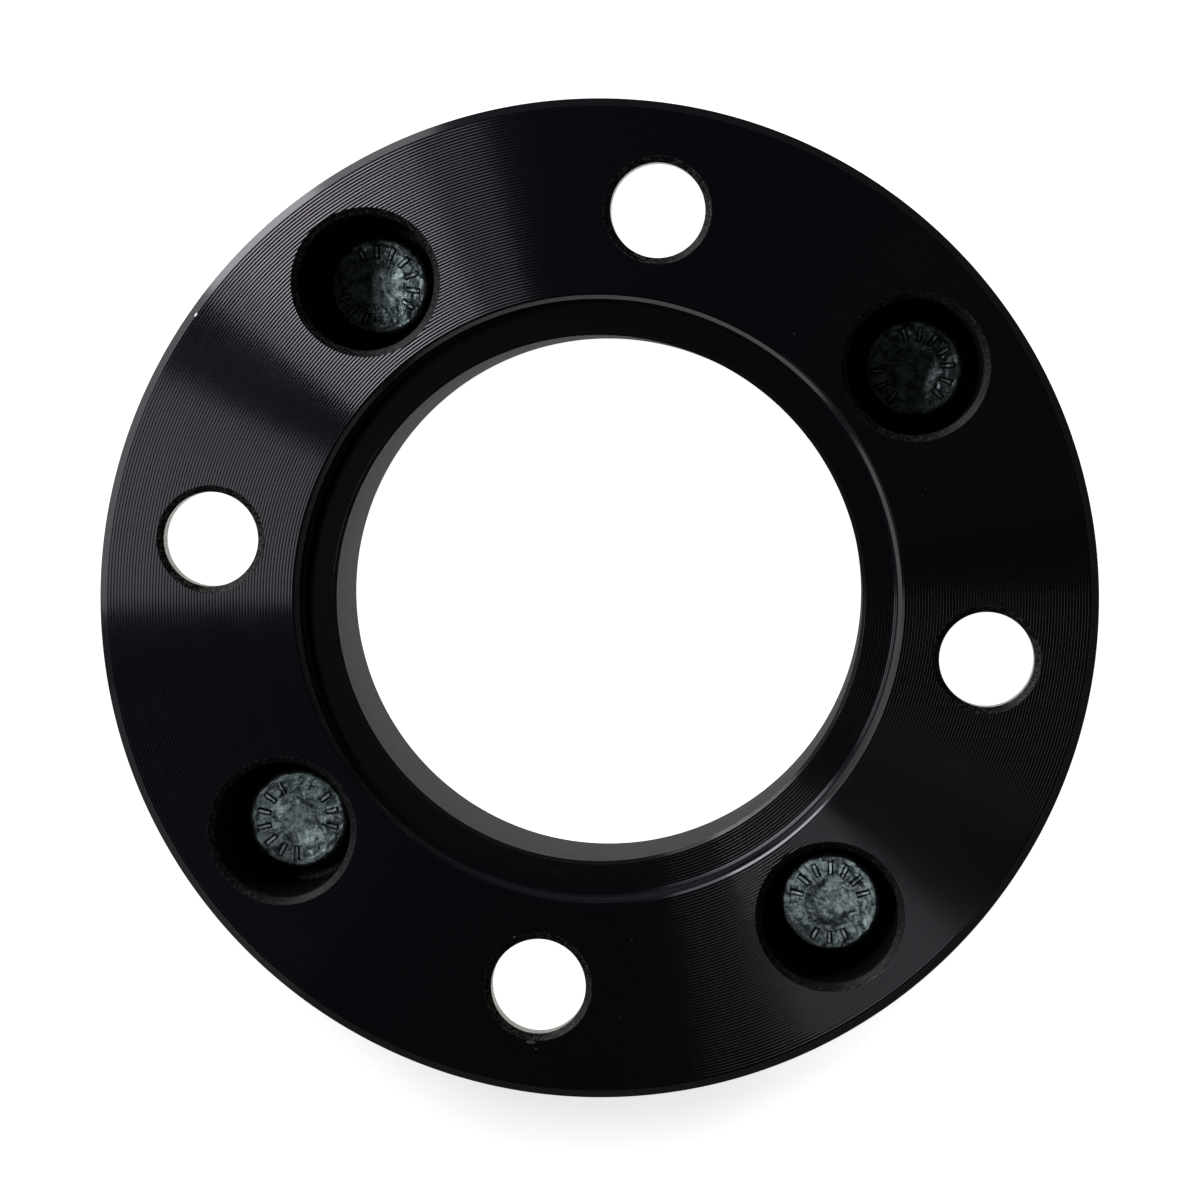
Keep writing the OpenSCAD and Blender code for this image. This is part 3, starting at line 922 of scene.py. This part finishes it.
class SPACER_OT_stage(bpy.types.Operator):
    """Make the pale floor, the lamps, the room and the camera"""

    bl_idname = "spacer.stage"
    bl_label = "Stage"

    def execute(self, context):
        scene, s = context.scene, context.scene.spacer_stage
        self.lay_floor(s)
        self.light_room(scene, s)
        lit = {name: collection_of(name, [bpy.data.objects[piece] for piece in pieces])
               for name, pieces in LIT.items()}
        for name, value, *place in STANDING_PANELS:
            standing_panel(name, getattr(s, value), *place, lit["pieces_alone"])
        for name, value, group, *place in SMALL_PANELS:
            panel_lamp(name, getattr(s, value), *place, lit[group])
        self.set_camera(scene, s)
        scene.view_settings.view_transform = "Standard"
        return {"FINISHED"}

    def set_camera(self, scene, s):
        """Camera that looks at its aim, level with the Y axis and then rolled."""
        camera = bpy.data.cameras.new("camera")
        camera.lens, camera.sensor_width = s.lens, SENSOR
        camera.clip_start, camera.clip_end = CLIP
        view = bpy.data.objects.new("camera", camera)
        back = (Vector(s.camera_place) - Vector(s.camera_aim)).normalized()
        right = Vector((0, 1, 0)).cross(back).normalized()
        level = Matrix((right, back.cross(right), back)).transposed().to_4x4()
        roll = Matrix.Rotation(s.camera_roll, 4, "Z")
        view.matrix_world = Matrix.Translation(s.camera_place) @ level @ roll
        scene.collection.objects.link(view)
        scene.camera = view

    def lay_floor(self, s):
        """Round floor under the stud tips, and the lamp that lights it alone.

        The eye sees it white, with a little of the object's shadow: its glow is painted down in a crescent on
        one side of the object, and only there does the lamp's shadow show. In reflections it is bright near
        the object and dim away from it.
        """
        f = Finish("pale_floor")
        path = f.node("ShaderNodeLightPath").outputs
        mirror = f.math("MAXIMUM", path["Is Glossy Ray"], path["Is Transmission Ray"])
        seen = f.math("MAXIMUM", path["Is Camera Ray"], mirror)
        across = f.vector("MULTIPLY", f.coords, (1, 1, 0))
        radius = f.vector("LENGTH", across)
        near = f.spread(radius, *FLOOR_DIM, 1.0, 0.0)
        # Painted shade: the glow is lowered in a crescent on one side alone, and the lamp's real shadow shows
        # only within it
        towards = f.vector("DOT_PRODUCT", f.vector("NORMALIZE", across), SHADOW_SIDE)
        painted_shade = f.math("POWER", f.spread(towards, *SHADOW_SPREAD), 2.0)
        painted_shade = f.math("MULTIPLY", f.math("MULTIPLY", near, painted_shade), f.spread(radius, *SHADOW_EDGE))
        to_eye = f.math("MULTIPLY_ADD", painted_shade, -s.floor_dip, 1.0)
        mirrored = f.spread(near, 0.0, 1.0, s.far_floor, s.near_floor)
        strength = f.math("MULTIPLY", seen, f.blend(path["Is Camera Ray"], mirrored, to_eye))
        tone = f.mix(path["Is Camera Ray"], tuple(s.floor_glow), (1.0, 1.0, 1.0))
        glow = f.node("ShaderNodeEmission", tone, strength).outputs[0]
        lit = f.node("ShaderNodeBsdfDiffuse", f.mix(near, (0.0, 0.0, 0.0), tuple(s.floor))).outputs[0]
        mixed = f.node("ShaderNodeAddShader", lit, glow).outputs[0]
        out = f.node("ShaderNodeOutputMaterial")
        f.tree.links.new(mixed, out.inputs["Surface"])
        angle = np.linspace(0, 2 * math.pi, FLOOR_COLUMNS + 1)
        radius = np.array(FLOOR_RADII)[:, None]
        x, y = radius * np.cos(angle), radius * np.sin(angle)
        grid = np.stack([x, y, np.full_like(x, CAD_BOX[0].z)], -1)
        normals = np.zeros_like(grid)
        normals[..., 2] = 1
        floor = make_piece("pale_floor", [(grid, normals, 0, False)], [f.material])
        panel_lamp("panel_over_floor", s.over_floor, *OVER_FLOOR, (0, 0, CAD_BOX[0].z),
                   collection_of("floor_alone", [floor]))

    def light_room(self, scene, s):
        """Dim room, white where the eye looks past the floor."""
        world = bpy.data.worlds.new("room")
        world.use_nodes = True
        tree = world.node_tree
        tree.nodes.clear()
        path, out = tree.nodes.new("ShaderNodeLightPath"), tree.nodes.new("ShaderNodeOutputWorld")
        mixed = tree.nodes.new("ShaderNodeMixShader")
        tree.links.new(path.outputs["Is Camera Ray"], mixed.inputs[0])
        for socket, strength in ((mixed.inputs[1], s.ambient), (mixed.inputs[2], 1.0)):
            light = tree.nodes.new("ShaderNodeBackground")
            light.inputs["Color"].default_value = (1, 1, 1, 1)
            light.inputs["Strength"].default_value = strength
            tree.links.new(light.outputs[0], socket)
        tree.links.new(mixed.outputs[0], out.inputs["Surface"])
        scene.world = world


class SPACER_PT_sidebar(bpy.types.Panel):
    """Buttons and values of the wheel spacer"""

    bl_idname = "SPACER_PT_sidebar"
    bl_label = "Wheel spacer"
    bl_space_type = "VIEW_3D"
    bl_region_type = "UI"
    bl_category = "Spacer"

    def draw(self, context):
        for group, _, operator in GROUPS:
            box = self.layout.box()
            if operator:
                box.operator(operator)
            values = getattr(context.scene, group)
            for name in values.__annotations__:
                box.prop(values, name)


# Groups of values: name on the scene, class, and the operator that uses them
GROUPS = (
    ("spacer_ring", SPACER_PG_ring, "spacer.turned_ring"),
    ("spacer_stud", SPACER_PG_stud, "spacer.wheel_studs"),
    ("spacer_finish", SPACER_PG_finish, ""),
    ("spacer_stage", SPACER_PG_stage, "spacer.stage"),
)
CLASSES = (
    SPACER_PG_ring,
    SPACER_PG_stud,
    SPACER_PG_finish,
    SPACER_PG_stage,
    SPACER_OT_turned_ring,
    SPACER_OT_wheel_studs,
    SPACER_OT_stage,
    SPACER_PT_sidebar,
)


def register():
    for cls in CLASSES:
        bpy.utils.register_class(cls)
    for group, cls, _ in GROUPS:
        setattr(bpy.types.Scene, group, PointerProperty(type=cls))


def unregister():
    for group, _, _ in GROUPS:
        delattr(bpy.types.Scene, group)
    for cls in reversed(CLASSES):
        bpy.utils.unregister_class(cls)


def main():
    """Make every piece and the stage."""
    register()
    bpy.ops.spacer.turned_ring()
    bpy.ops.spacer.wheel_studs()
    bpy.ops.spacer.stage()


if __name__ == "__main__":
    main()
